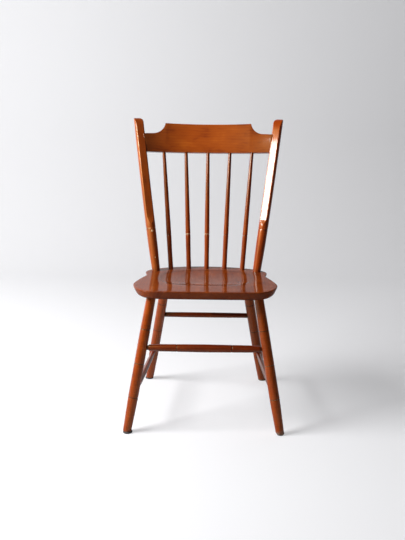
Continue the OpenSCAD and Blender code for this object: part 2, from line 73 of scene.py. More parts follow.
def cut_by_plane(bm, point, normal, **settings):
    """Cuts a bmesh by a plane, and returns the vertices and edges of the cut."""
    everything = bm.verts[:] + bm.edges[:] + bm.faces[:]
    return bmesh.ops.bisect_plane(bm, geom=everything, plane_co=point, plane_no=normal,
                                  **settings)["geom_cut"]


def round_edges(bm, edges, radius, segments):
    bmesh.ops.bevel(bm, geom=edges, offset=radius, segments=segments, profile=0.5, affect="EDGES",
                    material=-1)


def faces_out(bm):
    bmesh.ops.recalc_face_normals(bm, faces=bm.faces[:])


# %% Slices through the frame's nodes


def slice_box(node, axis, at):
    """The lowest and highest corner of the cut that a plane square to an axis makes in a node."""
    cut = bmesh.new()
    cut.from_mesh(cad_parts[node].data)
    normal = Vector((0, 0, 0))
    normal[axis] = 1
    points = [v.co.copy() for v in verts_in(cut_by_plane(cut, normal * at, normal))]
    cut.free()
    low = Vector([min(p[i] for p in points) for i in range(3)])
    high = Vector([max(p[i] for p in points) for i in range(3)])
    return low, high


def slice_middle(node, axis, at):
    """The middle of such a cut."""
    low, high = slice_box(node, axis, at)
    return (low + high) / 2


def set_along(start, towards):
    """The matrix that sets a piece made in millimetres along Z on the line between two points."""
    way = (towards - start).normalized()
    turn = way.to_track_quat("Z", "Y").to_matrix().to_4x4()
    return Matrix.Translation(start) @ turn @ Matrix.Scale(MM, 4)


seat_low, seat_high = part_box("seat")
print("seat top", round(seat_high.z / MM, 1), "mm up, front edge at", round(seat_low.y / MM, 1), "mm")

# %% [markdown]
# ## The planes of the seat
#
# The seat falls three degrees to the back, as on most chairs of this kind, so that the sitter
# slides against the spindles. Its own frame starts at the middle of the front edge, with Y running
# back along the top face and Z square to it. Legs, posts and spindles all start at one of its two
# faces, so a small function finds where a line meets such a face.

# %% Seat frame
SEAT_SLOPE = math.radians(3.0)
SEAT_THICK = 25.0

seat_front = Vector((0, seat_low.y, seat_high.z))
seat_place = Matrix.Translation(seat_front) @ Matrix.Rotation(-SEAT_SLOPE, 4, "X") @ Matrix.Scale(MM, 4)
seat_up = (seat_place.to_3x3() @ Vector((0, 0, 1))).normalized()


def meets_seat(a, b, depth=0.0):
    """Where the line through a and b meets the seat's top face, or the plane that deep below it."""
    on_plane = seat_front - seat_up * depth * MM
    way = b - a
    return a + way * ((on_plane - a).dot(seat_up) / way.dot(seat_up))


print("seat normal", [round(v, 4) for v in seat_up])

# %% [markdown]
# ## Colours and nodes
#
# Colours are written as sRGB hex values, because that is how they are read off a sample board, and
# one function turns them into the linear values that sockets want. One more function adds a shader
# node with its settings and links, so that a whole material reads as a list of steps.

# %% Colour and node helpers


def linear(text):
    """An sRGB hex colour as linear RGBA."""
    values = [int(text[i:i + 2], 16) / 255 for i in (1, 3, 5)]
    return [v / 12.92 if v <= 0.04045 else ((v + 0.055) / 1.055) ** 2.4 for v in values] + [1.0]


def add(tree, kind, inputs=None, **settings):
    """Adds a shader node of a kind, makes its settings, and gives each input a value or a link."""
    node = tree.nodes.new("ShaderNode" + kind)
    for name, value in settings.items():
        setattr(node, name, value)
    for key, value in (inputs or {}).items():
        if isinstance(value, bpy.types.NodeSocket):
            tree.links.new(value, node.inputs[key])
        else:
            node.inputs[key].default_value = value
    return node


def new_material(name):
    """An empty material with an output node."""
    material = bpy.data.materials.new(name)
    material.use_nodes = True
    material.node_tree.nodes.clear()
    print("material", name)
    return material, material.node_tree, add(material.node_tree, "OutputMaterial")


print("orange brown stain in linear light:", [round(v, 3) for v in linear("#8a3d12")])

# %% [markdown]
# ## Stained and lacquered maple
#
# Maple is pale and close grained. Under a wiping stain it shows three things: faint growth rings
# cut by the turning or the saw, fine streaks along the grain, and soft blotches, because maple
# takes stain unevenly. Over that lies a clear lacquer, which gives a second, sharper reflection.
#
# The pattern is solid, so it runs through a piece as real grain does. Each piece carries its
# coordinates in millimetres in two attributes: own, and wood, where Z runs along the grain. Three
# more, the marks, say where glaze and painted shade lie, where the finish is rubbed through, and
# where the foot is scuffed. The painted shade darkens the wood where parts meet, in the seat's
# hollow and towards the rail's ends. Streaks are drawn about 2 mm wide, coarser than real maple
# pores, so that they show.

# %% Grain figure
# the glaze mark also carries painted shade where parts meet, on the seat and on the rail
MARKS = ("glaze", "rub", "scuff")
WAVE_PERIOD = 0.314  # of a wave texture whose scale is 1
RINGS_APART = 9.0


def grain_figure(tree, wood, own, mottle, turning):
    """The fine streaks, and the whole figure that the stain brings out. Both run from 0 to 1."""
    # growth rings 9 mm apart, then streaks 2 mm wide and 60 mm long, blotches 35 mm across, and
    # tool marks that run round a turning every 4 mm or so and hold a little more stain
    rings = add(tree, "TexWave", {
        "Vector": wood, "Scale": WAVE_PERIOD / RINGS_APART,
        "Distortion": 7.0, "Detail": 3.0, "Detail Scale": 0.35,
    }, wave_type="RINGS", rings_direction="Z")
    patterns = []
    for vector, size, detail, roughness, distortion in (
        (wood, (2, 2, 60), 3.0, 0.6, 0.0),
        (wood, (35, 35, 70), 2.5, 0.55, 0.4),
        (own, (90, 90, 4), 2.0, 0.5, 0.0),
    ):
        sized = add(tree, "Mapping", {"Vector": vector, "Scale": [1 / s for s in size]})
        patterns.append(add(tree, "TexNoise", {
            "Vector": sized.outputs[0], "Scale": 1.0, "Detail": detail, "Roughness": roughness,
            "Distortion": distortion,
        }).outputs["Fac"])
    streaks, blotches, tool_marks = patterns
    figure = streaks
    for share, other in ((0.2, rings.outputs["Fac"]), (turning, tool_marks), (mottle, blotches)):
        figure = add(tree, "Mix", {0: share, 2: figure, 3: other}, data_type="FLOAT").outputs[0]
    return streaks, figure


def with_boards(tree, figure, own, width):
    """The figure with each glued board a little lighter or darker than its neighbours."""
    across = add(tree, "SeparateXYZ", {"Vector": own}).outputs["X"]
    number = add(tree, "Math", {0: across, 1: width}, operation="DIVIDE")
    # the joints between boards don't lie even about the middle
    whole = add(tree, "Math", {0: number.outputs[0], 1: 0.37}, operation="ADD")
    board = add(tree, "Math", {0: whole.outputs[0]}, operation="FLOOR")
    tone = add(tree, "TexWhiteNoise", {"W": board.outputs[0]}, noise_dimensions="1D")
    shifted = add(tree, "Math", {0: tone.outputs["Value"], 1: 0.10, 2: -0.05},
                  operation="MULTIPLY_ADD")
    return add(tree, "Math", {0: figure, 1: shifted.outputs[0]}, operation="ADD").outputs[0]


# %% Wear through the finish


def bare_wood(tree, wood, own, rub, chips):
    """Where the finish is rubbed or knocked away, from 0 to 1."""
    crumbs = add(tree, "TexNoise", {"Vector": wood, "Scale": 0.55, "Detail": 3.0})
    worn = add(tree, "Math", {0: crumbs.outputs["Fac"], 1: 0.9, 2: rub}, operation="MULTIPLY_ADD")
    bare = add(tree, "MapRange", {
        "Value": worn.outputs[0], "From Min": 0.88, "From Max": 1.0,
    }).outputs[0]
    for x, y, z, radius in chips:
        away = add(tree, "VectorMath", {0: own, 1: (x, y, z)}, operation="DISTANCE")
        ragged = add(tree, "Math", {
            0: crumbs.outputs["Fac"], 1: -2.4, 2: away.outputs["Value"],
        }, operation="MULTIPLY_ADD")
        chip = add(tree, "MapRange", {
            "Value": ragged.outputs[0], "From Min": radius - 1.0, "From Max": radius - 1.6,
        })
        bare = add(tree, "Math", {0: bare, 1: chip.outputs[0]}, operation="MAXIMUM").outputs[0]
    return bare


# %% Maple material
# the glaze brown is also the colour of the painted shade
GLAZE_AND_SHADE_BROWN, SCUFFED_GREY, BARE_MAPLE = "#210a04", "#7d6a5e", "#dcb98c"
WARM_SHEEN = "#ffc878"
LACQUER_IOR = 1.5


def stained_maple(name, dark, mid, light, gloss, coat=0.4, fibres=0.5, relief_share=0.3,
                  mottle=0.55, turning=0.4, boards=0.0, chips=()):
    """Maple with stain, glaze and lacquer. boards is the width of glued boards, in millimetres,
    and chips lists (x, y, z, radius) of knocks through the finish, in the piece's millimetres."""
    material, tree, output = new_material(name)
    wood, own = [add(tree, "Attribute", attribute_name=a).outputs["Vector"] for a in ("wood", "own")]
    glaze, rub, scuff = [add(tree, "Attribute", attribute_name=a).outputs["Fac"] for a in MARKS]
    streaks, figure = grain_figure(tree, wood, own, mottle, turning)
    if boards:
        figure = with_boards(tree, figure, own, boards)

    stain = add(tree, "ValToRGB", {"Fac": figure})
    ramp = stain.color_ramp
    ramp.interpolation = "EASE"
    ramp.elements[0].position, ramp.elements[1].position = 0.30, 0.72
    ramp.elements[0].color, ramp.elements[1].color = linear(dark), linear(light)
    ramp.elements.new(0.50).color = linear(mid)

    # the feet are scuffed in patches
    scratchy = add(tree, "TexNoise", {"Vector": wood, "Scale": 0.35, "Detail": 4.0})
    scuff_edge = add(tree, "Math", {0: scuff, 1: scratchy.outputs["Fac"]}, operation="MULTIPLY")
    scuffed_by = add(tree, "MapRange", {
        "Value": scuff_edge.outputs[0], "From Min": 0.22, "From Max": 0.5,
    }).outputs[0]
    bare = bare_wood(tree, wood, own, rub, chips)

    # dark glaze lies in the grooves, and the same brown is painted shade where parts meet; scuffs go
    # over it, and bare wood shows through both
    colour = stain.outputs["Color"]
    for share, layer in ((glaze, GLAZE_AND_SHADE_BROWN), (scuffed_by, SCUFFED_GREY), (bare, BARE_MAPLE)):
        colour = add(tree, "Mix", {0: share, 6: colour, 7: linear(layer)}, data_type="RGBA").outputs[2]

    # the lacquer is level, with a trace of the grain in it, and it is gone where wood is bare
    damaged = add(tree, "Math", {0: bare, 1: scuffed_by}, operation="MAXIMUM")
    rough = add(tree, "MapRange", {"Value": damaged.outputs[0], "To Min": gloss, "To Max": 0.75})
    relief = add(tree, "Math", {0: damaged.outputs[0], 1: -3.0, 2: streaks}, operation="MULTIPLY_ADD")
    bump = add(tree, "Bump", {
        "Height": relief.outputs[0], "Strength": relief_share, "Distance": 0.00006,
    })
    shader = add(tree, "BsdfPrincipled", {
        "Base Color": colour, "Roughness": rough.outputs[0], "IOR": LACQUER_IOR,
        "Specular IOR Level": fibres, "Specular Tint": linear(WARM_SHEEN), "Normal": bump.outputs[0],
        "Coat Weight": coat, "Coat Roughness": 0.09, "Coat IOR": LACQUER_IOR,
    })
    tree.links.new(shader.outputs[0], output.inputs["Surface"])
    return material


# Sprayed and wiped on an assembled chair, so the tone differs a little from piece to piece
seat_maple = stained_maple("stained maple, seat boards", "#6e2c0e", "#803812", "#944519", 0.40,
                           fibres=0.0, relief_share=0.0, mottle=0.7, turning=0.0, boards=118.0)
rail_maple = stained_maple("stained maple, bent rail", "#8a3409", "#a6480d", "#ba5914", 0.42, coat=1.0,
                           fibres=0.3, relief_share=0.1, mottle=0.68, turning=0.0)
post_maple = stained_maple("stained maple, right post", "#7c2402", "#a03a03", "#b84c08", 0.36, coat=1.0)
POST_CHIPS = ((4.0, -14.0, 128.0, 3.6), (4.0, -13.0, 45.0, 2.4))
chipped_maple = stained_maple("stained maple, left post with chips", "#762602", "#963a04", "#b2560c",
                              0.44, coat=0.45, fibres=1.0, chips=POST_CHIPS)
spindle_maple = stained_maple("stained maple, spindles", "#641a03", "#8a3006", "#a2440c", 0.36,
                              fibres=0.35)
leg_maple = stained_maple("stained maple, legs", "#6e1c01", "#983601", "#ba5204", 0.38,
                          fibres=0.8, mottle=0.35, turning=0.55)
stretcher_maple = stained_maple("stained maple, stretchers", "#4e1002", "#6c1e04", "#88320a", 0.36)

# %% [markdown]
# ## Finishing a piece
#
# Every piece ends the same way. Its mesh gets smooth shading with sharp edges kept, and its
# attributes: wood holds the grain's coordinates, shifted for each piece so that no two show the
# same figure, and set well off the pith, as boards and turning squares are cut. Then it gets its
# material, rides on the chair, and stands in for its CAD node.

# %% Piece helper
PITH_AWAY = 90.0
SHARP = math.radians(38)


def no_mark(point):
    return 0.0


def into_scene(name, data):
    """A new object in the scene that shows a mesh, or is a lamp or a camera."""
    made = bpy.data.objects.new(name, data)
    bpy.context.scene.collection.objects.link(made)
    return made


def as_mesh(bm, name, material):
    """A smooth shaded mesh from a bmesh."""
    mesh = bpy.data.meshes.new(name)
    bm.to_mesh(mesh)
    bm.free()
    mesh.shade_smooth()
    mesh.materials.append(material)
    return mesh


def finish_piece(bm, name, material, slot, nodes, place, unbend=None, grain=None, **marks):
    """Makes a piece from a bmesh. place is the matrix that set it in the chair. In the piece's own
    millimetres, unbend takes a bend out, grain turns Z along the grain, and a mark gives 0 to 1."""
    mesh = as_mesh(bm, name, material)
    mesh.set_sharp_from_angle(angle=SHARP)
    chance = random.Random(name)
    turn = chance.uniform(0, 2 * math.pi)
    shift = Vector((math.cos(turn) * PITH_AWAY, math.sin(turn) * PITH_AWAY, chance.uniform(0, 900)))
    back = place.inverted()
    points = [unbend(back @ v.co) if unbend else back @ v.co for v in mesh.vertices]
    own_values = mesh.attributes.new("own", "FLOAT_VECTOR", "POINT")
    wood_values = mesh.attributes.new("wood", "FLOAT_VECTOR", "POINT")
    for i, point in enumerate(points):
        own_values.data[i].vector = point
        wood_values.data[i].vector = (grain(point) if grain else point) + shift
    for mark in MARKS:
        at = marks.get(mark, no_mark)
        values = mesh.attributes.new(mark, "FLOAT", "POINT")
        for i, point in enumerate(points):
            values.data[i].value = at(point)
    piece = into_scene(name, mesh)
    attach(piece, "root")
    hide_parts(*nodes)
    print(f"{name}: {len(mesh.vertices)} points, {len(mesh.polygons)} faces")
    return piece


def fade(distance, reach):
    """1 at no distance, falling evenly to 0 at reach."""
    return max(0.0, 1.0 - abs(distance) / reach)


# %% [markdown]
# ## The seat
#
# The seat is a plank glued up from boards that run front to back. Its sides were bandsawn, then
# shaped with an undercut, and a broad shallow hollow was carved in the top. The mesh follows the
# carving: a ring of edges on the outline is drawn in to the rounded border of the hollow and on
# to its middle, so one ring lies on the border and it shows as a clear line in the reflections.

# %% Seat outline
SEAT_HALF = (seat_high.x - seat_low.x) / 2 / MM
SEAT_DEPTH = 395.0
WAIST = (SEAT_HALF - 29, SEAT_DEPTH - 155)
EAR = (SEAT_HALF - 21, SEAT_DEPTH - 103)
HOLLOW_HALF = (SEAT_HALF - 64, (SEAT_DEPTH - 88 - 57) / 2)
HOLLOW_MID = Vector((0, 88 + HOLLOW_HALF[1], 0))
HOLLOW_DEEP = 10.0
HOLLOW_ROUND = 2.6
HOLLOW_BOWL = 0.85 * HOLLOW_ROUND


def through(points, steps):
    """A smooth curve through points, with that many steps from each to the next."""
    curve = []
    for i in range(len(points) - 1):
        a, b = points[max(i - 1, 0)], points[i]
        c, d = points[i + 1], points[min(i + 2, len(points) - 1)]
        for s in range(steps):
            t = s / steps
            curve.append(b + t / 2 * ((c - a) + t * ((2 * a - 5 * b + 4 * c - d)
                                                     + t * (3 * b - a - 3 * c + d))))
    return curve


def seat_outline():
    """The outline of the seat's top face, from the front middle round to the right and back."""
    front = through([Vector(p) for p in (
        (0, 0, 0), (SEAT_HALF * 0.42, 1.2, 0), (SEAT_HALF * 0.76, 6.4, 0), (SEAT_HALF - 17, 40, 0),
        (SEAT_HALF, 102, 0), (SEAT_HALF - 10, (102 + WAIST[1]) / 2, 0), (WAIST[0], WAIST[1], 0),
    )], 10)
    ear = [Vector(p) for p in (
        (WAIST[0], WAIST[1], 0), (WAIST[0] + 1, WAIST[1] + 8, 0), (WAIST[0] + 2, WAIST[1] + 16, 0),
        (WAIST[0] + 4.6, WAIST[1] + 27, 0), (EAR[0] - 1, EAR[1] - 12, 0), (EAR[0] - 0.3, EAR[1] - 5, 0),
    )]
    back = [
        Vector((EAR[0] * math.cos(math.radians(a)), EAR[1] + 103 * math.sin(math.radians(a)), 0))
        for a in range(0, 91, 3)
    ]
    right = front + ear + back
    left = [Vector((-p.x, p.y, 0)) for p in reversed(right[1:-1])]
    return right + left


def hollow_share(point):
    """How far out in the hollow a point lies: 0 at its middle, 1 on its border, more outside."""
    way = point - HOLLOW_MID
    reach = (abs(way.x) / HOLLOW_HALF[0]) ** HOLLOW_ROUND + (abs(way.y) / HOLLOW_HALF[1]) ** HOLLOW_ROUND
    return reach ** (1 / HOLLOW_ROUND)


def hollow_border(point):
    """The point of the hollow's border that lies in the same direction from its middle."""
    return HOLLOW_MID + (point - HOLLOW_MID) / hollow_share(point)


outline = seat_outline()
borders = [hollow_border(p) for p in outline]
print("outline points:", len(outline))

# %% Seat mesh
# (inset, height) of the rings of the seat's side, from the lower edge up
WALL = ((12.0, -25.0), (10.2, -24.6), (8.5, -23.0), (6.2, -19.5), (3.4, -12.5), (1.0, -5.5),
        (0.0, -2.4), (0.25, -1.2), (0.9, -0.35), (2.2, 0.0))
UNDERSIDE_INSET = 72.0
SEAT_MEAN_RADIUS = 200.0
SEAT_HEART = Vector((0, SEAT_DEPTH * 0.48, 0))
RIM_SHARES = (0.9, 0.75, 0.6, 0.45, 0.3, 0.2, 0.1)
HOLLOW_SHARES = (0.96, 0.92, 0.88, 0.84, 0.78, 0.71, 0.63, 0.54, 0.44, 0.34, 0.24, 0.15, 0.07)


def loop_of(bm, points):
    """A closed ring of edges through points."""
    ring = bmesh.ops.create_circle(bm, cap_ends=False, segments=len(points), radius=1.0)["verts"]
    for vert, point in zip(ring, points):
        vert.co = point
    return ring


def edges_of(bm, ring):
    return [bm.edges.get((ring[i - 1], ring[i])) for i in range(len(ring))]


def stack(bm, rings):
    """Extrudes each ring of points to the next, closes both ends, and returns the rings' vertices."""
    made = [loop_of(bm, rings[0])]
    for points in rings[1:]:
        extruded = bmesh.ops.extrude_edge_only(bm, edges=edges_of(bm, made[-1]))["geom"]
        fresh = set(verts_in(extruded))
        ring = [next(e.other_vert(v) for e in v.link_edges if e.other_vert(v) in fresh) for v in made[-1]]
        for vert, point in zip(ring, points):
            vert.co = point
        made.append(ring)
    for end in (made[0], made[-1]):
        bmesh.ops.contextual_create(bm, geom=edges_of(bm, end))
    faces_out(bm)
    return made


def drawn_in(inset, height):
    """The seat's outline drawn in by about that inset, at a height above the top face."""
    share = 1 - inset / SEAT_MEAN_RADIUS
    return [SEAT_HEART + (p - SEAT_HEART) * share + Vector((0, 0, height)) for p in outline]


def between(share):
    """The ring that lies that share of the way from the hollow's border to the seat's edge."""
    return [b.lerp(e, share) for b, e in zip(borders, drawn_in(*WALL[-1]))]


def in_hollow(share):
    """The ring that lies that share of the way from the hollow's middle to its border."""
    deep = -HOLLOW_DEEP * (1 - share ** HOLLOW_BOWL)
    return [HOLLOW_MID + (b - HOLLOW_MID) * share + Vector((0, 0, deep)) for b in borders]


seat = bmesh.new()
seat_rings = [drawn_in(UNDERSIDE_INSET, -SEAT_THICK)]
seat_rings += [drawn_in(inset, height) for inset, height in WALL]
seat_rings += [between(share) for share in RIM_SHARES]
seat_rings += [in_hollow(share) for share in HOLLOW_SHARES]
stack(seat, seat_rings)
seat.transform(seat_place)

# %% Seat finish
# the lower edge's darkening is sought below one height, and the hollow's painted shade above the other
UNDERSIDE, HOLLOW_FLOOR = -18.0, -12.0
# the hollow and a band just inside its border get painted shade; the lower edge is only darker
LOWER_EDGE_DARKENING, BORDER_PAINTED_SHADE, HOLLOW_PAINTED_SHADE = 0.55, 0.36, 0.08
BORDER_SHADE_AT, BORDER_SHADE_WIDE = 0.94, 0.1
HOLLOW_SHADE_TO = 0.93


def seat_grain(point):
    """Boards run front to back, so the grain's Z is the seat's Y."""
    return Vector((point.x, point.z, point.y))


def seat_glaze(point):
    """Darker towards the lower edge, and painted shade thinly in the hollow and more just inside the
    hollow's border.
    """
    if point.z < UNDERSIDE:
        return LOWER_EDGE_DARKENING * fade(point.z + SEAT_THICK, 4)
    if point.z <= HOLLOW_FLOOR:
        return 0.0
    share = hollow_share(point)
    inside = HOLLOW_PAINTED_SHADE if share < HOLLOW_SHADE_TO else 0.0
    return max(BORDER_PAINTED_SHADE * fade(share - BORDER_SHADE_AT, BORDER_SHADE_WIDE), inside)


finish_piece(seat, "seat_plank", seat_maple, "stained_maple_seat", ["seat"], seat_place,
             grain=seat_grain, glaze=seat_glaze)

# %% [markdown]
# ## Turning
#
# Legs, spindles and stretchers come off a lathe. The same thing is done here: half of the outline
# is drawn as a line of edges beside the axis, and spin carries it round. The bamboo look is a
# shallow groove at each ring, cut into a swelling that falls away on both sides.

# %% Turning helpers
SPIN_STEPS = 48
# (distance from the ring, share of the full depth)
GROOVE = ((-2.6, 0.0), (-1.7, 0.1), (-1.0, 0.7), (0.0, 1.0), (1.0, 0.7), (1.7, 0.1), (2.6, 0.0))
GROOVE_DEEP = 0.65


def radius_through(stations):
    """Radius along a turning, straight from each (height, radius) station to the next."""
    def radius_at(z):
        for (low, low_r), (high, high_r) in zip(stations, stations[1:]):
            if z <= high:
                return low_r + (high_r - low_r) * max(0.0, z - low) / (high - low)
        return stations[-1][1]

    return radius_at


def spun(outline_points):
    """Carries half an outline of (radius, height) points round the axis."""
    bm = bmesh.new()
    verts = [bm.verts.new((r, 0, z)) for r, z in outline_points]
    edges = [bm.edges.new(pair) for pair in zip(verts, verts[1:])]
    bmesh.ops.spin(bm, geom=verts + edges, cent=(0, 0, 0), axis=(0, 0, 1), angle=2 * math.pi,
                   steps=SPIN_STEPS, use_merge=True)
    bmesh.ops.remove_doubles(bm, verts=bm.verts[:], dist=0.001)
    faces_out(bm)
    return bm


def turned(radius_at, start, end, rings=(), corners=(), step=9.0):
    """Turns the outline radius_at(height) between two heights, with a groove at each ring."""
    count = max(2, round((end - start) / step))
    plain = [start + (end - start) * i / count for i in range(count + 1)]
    plain = [z for z in plain if all(abs(z - c) > 1.0 for c in corners)] + list(corners)
    outline_points = [(radius_at(z), z) for z in plain if all(abs(z - r) > 4.0 for r in rings)]
    for ring in rings:
        outline_points += [(radius_at(ring + w) - GROOVE_DEEP * share, ring + w) for w, share in GROOVE]
    outline_points.sort(key=lambda p: p[1])
    return spun([(0.0, start)] + outline_points + [(0.0, end)])


def groove_glaze(rings, strength=0.95):
    """How much glaze lies at a point of a turning: it fills the grooves."""
    return lambda p: strength * max(fade(p.z - ring, 2.4) for ring in rings)


def ring_rub(amounts):
    """How far the lips of the rings are rubbed through, all the way round."""
    return lambda p: max(amount * fade(p.z - ring, 3.2) for ring, amount in amounts)


# %% [markdown]
# ## Legs
#
# A leg is thickest at its three rings, a little slimmer between them, and tapers to the foot and
# less to the top. The foot is cut level with the floor, which is a slant across the leg, so it is
# cut after the leg stands in its place, and the rim of the cut is rounded. One front foot has lost
# its broad glide and is worn round, with a grey scuffed end.

# %% Legs
LEG_RINGS = (108.0, 210.0, 313.0)
FRONT_LEG_D, REAR_LEG_D = 30.2, 31.2
LEG_BELOW_FLOOR, LEG_INTO_SEAT = 8.0, 3.0
FOOT_SLIMMER, TOP_SLIMMER, WAIST_SLIMMER = 2.8, 1.3, 0.1
LEG_SLICES = (0.062, 0.372)
GLIDE_HEIGHTS = {
    "front_left_glide": 6.0, "front_right_glide": 3.0, "rear_left_glide": 6.0, "rear_right_glide": 6.0,
}


def leg_radius(ring_d, top, scale):
    """Radius of a leg at a height along it."""
    full = ring_d / 2
    rings = [r * scale for r in LEG_RINGS]

    def radius_at(z):
        if z <= rings[0]:
            return full - FOOT_SLIMMER * (1 - z / rings[0]) ** 1.1
        if z >= rings[2]:
            return full - TOP_SLIMMER * min(1.0, (z - rings[2]) / (top - rings[2])) ** 0.8
        low, high = (rings[0], rings[1]) if z < rings[1] else (rings[1], rings[2])
        across = 2 * (z - low) / (high - low) - 1
        return full - WAIST_SLIMMER * (1 - across * across)

    return radius_at


def make_leg(name, ring_d, rounding, rub, scuff):
    """A leg whose foot is cut level above its glide, with its rim rounded by that radius."""
    glide = name.replace("_leg", "_glide")
    foot_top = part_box(glide)[0].z + GLIDE_HEIGHTS[glide] * MM
    a, b = [slice_middle(name, 2, at) for at in LEG_SLICES]
    floor_point = a + (b - a) * ((0 - a.z) / (b.z - a.z))
    top_point = meets_seat(a, b, SEAT_THICK)
    length = (top_point - floor_point).length / MM
    scale = length * MM / (top_point.z - floor_point.z)
    place = set_along(floor_point, top_point)
    rings = [r * scale for r in LEG_RINGS]
    leg = turned(leg_radius(ring_d, length, scale), -LEG_BELOW_FLOOR, length + LEG_INTO_SEAT, rings)
    leg.transform(place)
    cut = cut_by_plane(leg, (0, 0, foot_top), (0, 0, 1), clear_inner=True)
    rim = [g for g in cut if isinstance(g, bmesh.types.BMEdge)]
    bmesh.ops.contextual_create(leg, geom=rim)
    faces_out(leg)
    round_edges(leg, rim, rounding * MM, 4)
    finish_piece(
        leg, name.replace("_leg", "_turned_leg"), leg_maple, "stained_maple_turned", [name], place,
        # glaze in the grooves, and painted shade at the top, where the leg meets the seat's underside
        glaze=lambda p: max(groove_glaze(rings)(p), 0.5 * fade(p.z - length, 7)),
        rub=ring_rub(list(zip(rings, rub))),
        scuff=lambda p: scuff * fade(p.z - 2, 26),
    )


make_leg("front_left_leg", FRONT_LEG_D, 1.2, (0.12, 0.30, 0.06), 0.55)
make_leg("front_right_leg", FRONT_LEG_D, 4.5, (0.48, 0.46, 0.10), 1.0)
make_leg("rear_left_leg", REAR_LEG_D, 1.2, (0.30, 0.30, 0.30), 0.5)
make_leg("rear_right_leg", REAR_LEG_D, 1.2, (0.30, 0.34, 0.30), 0.5)

# %% [markdown]
# ## Stretchers
#
# Four stretchers tie the legs. The front one is a stout barrel with two rings and a rounded
# shoulder at each end, and only a thin tenon runs on into the leg, which leaves a dark little gap.
# The other three are plain and slim. Every end runs on past the middle of its leg in a blind hole.

# %% Stretchers
PAST_LEG_MIDDLE = 3.0
SHOULDER_GAP = 4.0
RING_FROM_MIDDLE = 82.0


def front_stations(length):
    """Half of the front stretcher's outline: tenon, rounded shoulder, barrel, ring, middle."""
    shoulder = PAST_LEG_MIDDLE + FRONT_LEG_D / 2 + SHOULDER_GAP
    ring = length / 2 - RING_FROM_MIDDLE
    fuller = shoulder + (ring - shoulder) * 0.4
    rounded = [(shoulder + z, r) for z, r in ((0.0, 7.0), (0.4, 8.1), (1.1, 9.0), (2.2, 9.5))]
    return [(0.0, 7.0), *rounded, (fuller, 10.85), (ring, 11.3), (length / 2, 12.0)], (ring,)


def plain_stations(end, end_to, quarter, middle):
    """The same for a plain stretcher, from its radii at the end, a quarter along and the middle."""
    return lambda length: ([(0.0, end), (end_to, end), (length / 4, quarter), (length / 2, middle)], ())


rear_stations = plain_stations(8.0, 18.6, 8.55, 8.75)
side_stations = plain_stations(7.0, 34.2, 8.45, 9.0)


def make_stretcher(name, axis, stations_of, end_d, rub=(0.0, 0.0)):
    low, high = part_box(name)
    reach = high[axis] - low[axis]
    a, b = [slice_middle(name, axis, low[axis] + reach * share) for share in (0.2, 0.8)]
    way = (b - a).normalized()
    # a slanting bar's box is longer than its axis by the slant of its round end
    end_lean = end_d / 2 * MM * math.sqrt(max(0.0, 1 - way[axis] ** 2))
    start = a + way * ((low[axis] + end_lean - a[axis]) / way[axis])
    stop = a + way * ((high[axis] - end_lean - a[axis]) / way[axis])
    length = (stop - start).length / MM
    half, rings = stations_of(length)
    stations = half + [(length - z, r) for z, r in reversed(half[:-1])]
    rings = [z for ring in rings for z in (ring, length - ring)]
    place = set_along(start, stop)
    bar = turned(radius_through(stations), 0.0, length, rings, [z for z, r in stations[1:-1]])
    bar.transform(place)
    leg_skin = PAST_LEG_MIDDLE + FRONT_LEG_D / 2
    finish_piece(
        bar, name.replace("_stretcher", "_turned_stretcher"), stretcher_maple, "stained_maple_turned",
        [name], place,
        # glaze in the grooves, and painted shade at each end, where the stretcher meets a leg
        glaze=lambda p: max(groove_glaze(rings, 0.7)(p) if rings else 0.0,
                            0.8 * fade(min(p.z, length - p.z) - leg_skin, 5)),
        rub=ring_rub(list(zip(rings, rub))) if rings else no_mark,
    )


make_stretcher("front_stretcher", 0, front_stations, 14.0, rub=(0.3, 0.3))
make_stretcher("rear_stretcher", 0, rear_stations, 16.0)
make_stretcher("left_stretcher", 1, side_stations, 14.0)
make_stretcher("right_stretcher", 1, side_stations, 14.0)

# %% [markdown]
# ## Spindles
#
# Five spindles fan out from the seat to the rail. Each is nearly straight, a little fuller at its
# one ring, and slim at the top. Hands and cloths have rubbed the rings of two of them pale.

# %% Spindles
SPINDLE_RING = 112.5
INTO_RAIL = 5.0
BELOW_CAD_TOP = 8.0
SPINDLE_SLICES = (0.480, 0.700)


def spindle_radius(length):
    """Radius of a spindle from its foot to where it enters the rail."""
    return radius_through([
        (-6.0, 8.0), (0.0, 8.0), (50.0, 7.7), (SPINDLE_RING, 8.3),
        ((length + SPINDLE_RING) / 2, 7.0), (length - 20, 5.7), (length + 20, 5.7),
    ])


def make_spindle(number, rub):
    node = f"spindle_{number}"
    a, b = [slice_middle(node, 2, at) for at in SPINDLE_SLICES]
    start = meets_seat(a, b)
    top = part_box(node)[1].z - BELOW_CAD_TOP * MM
    stop = a + (b - a) * ((top - a.z) / (b.z - a.z))
    length = (stop - start).length / MM
    place = set_along(start, stop)
    spindle = turned(spindle_radius(length - INTO_RAIL), -3.0, length, (SPINDLE_RING,))
    spindle.transform(place)
    finish_piece(
        spindle, f"turned_spindle_{number}", spindle_maple, "stained_maple_turned", [node], place,
        # painted shade at the foot, where the spindle meets the seat, and darker from the middle upwards
        glaze=lambda p: max(groove_glaze((SPINDLE_RING,), 0.6)(p), 0.6 * fade(p.z, 6),
                            0.4 * min(1.0, max(0.0, (p.z - 120) / 160))),
        rub=ring_rub([(SPINDLE_RING + 1.5, rub)]),
    )


for number, rub in enumerate((0.30, 0.66, 0.66, 0.36, 0.33), 1):
    make_spindle(number, rub)

# %% [markdown]
# ## Back posts
#
# A post is turned, steamed and bent back, and then a flat is planed on its front from just above
# the ring to the top, where the inner corner is rounded over like a thumb. Each ring of the mesh
# is an arc from one edge of the flat round the back to the other, plus a few points across the
# flat. The two edges of the flat are then whole columns of edges, which come out crisp and can be
# softened with a narrow bevel, and at the foot of the flat the columns meet by themselves.

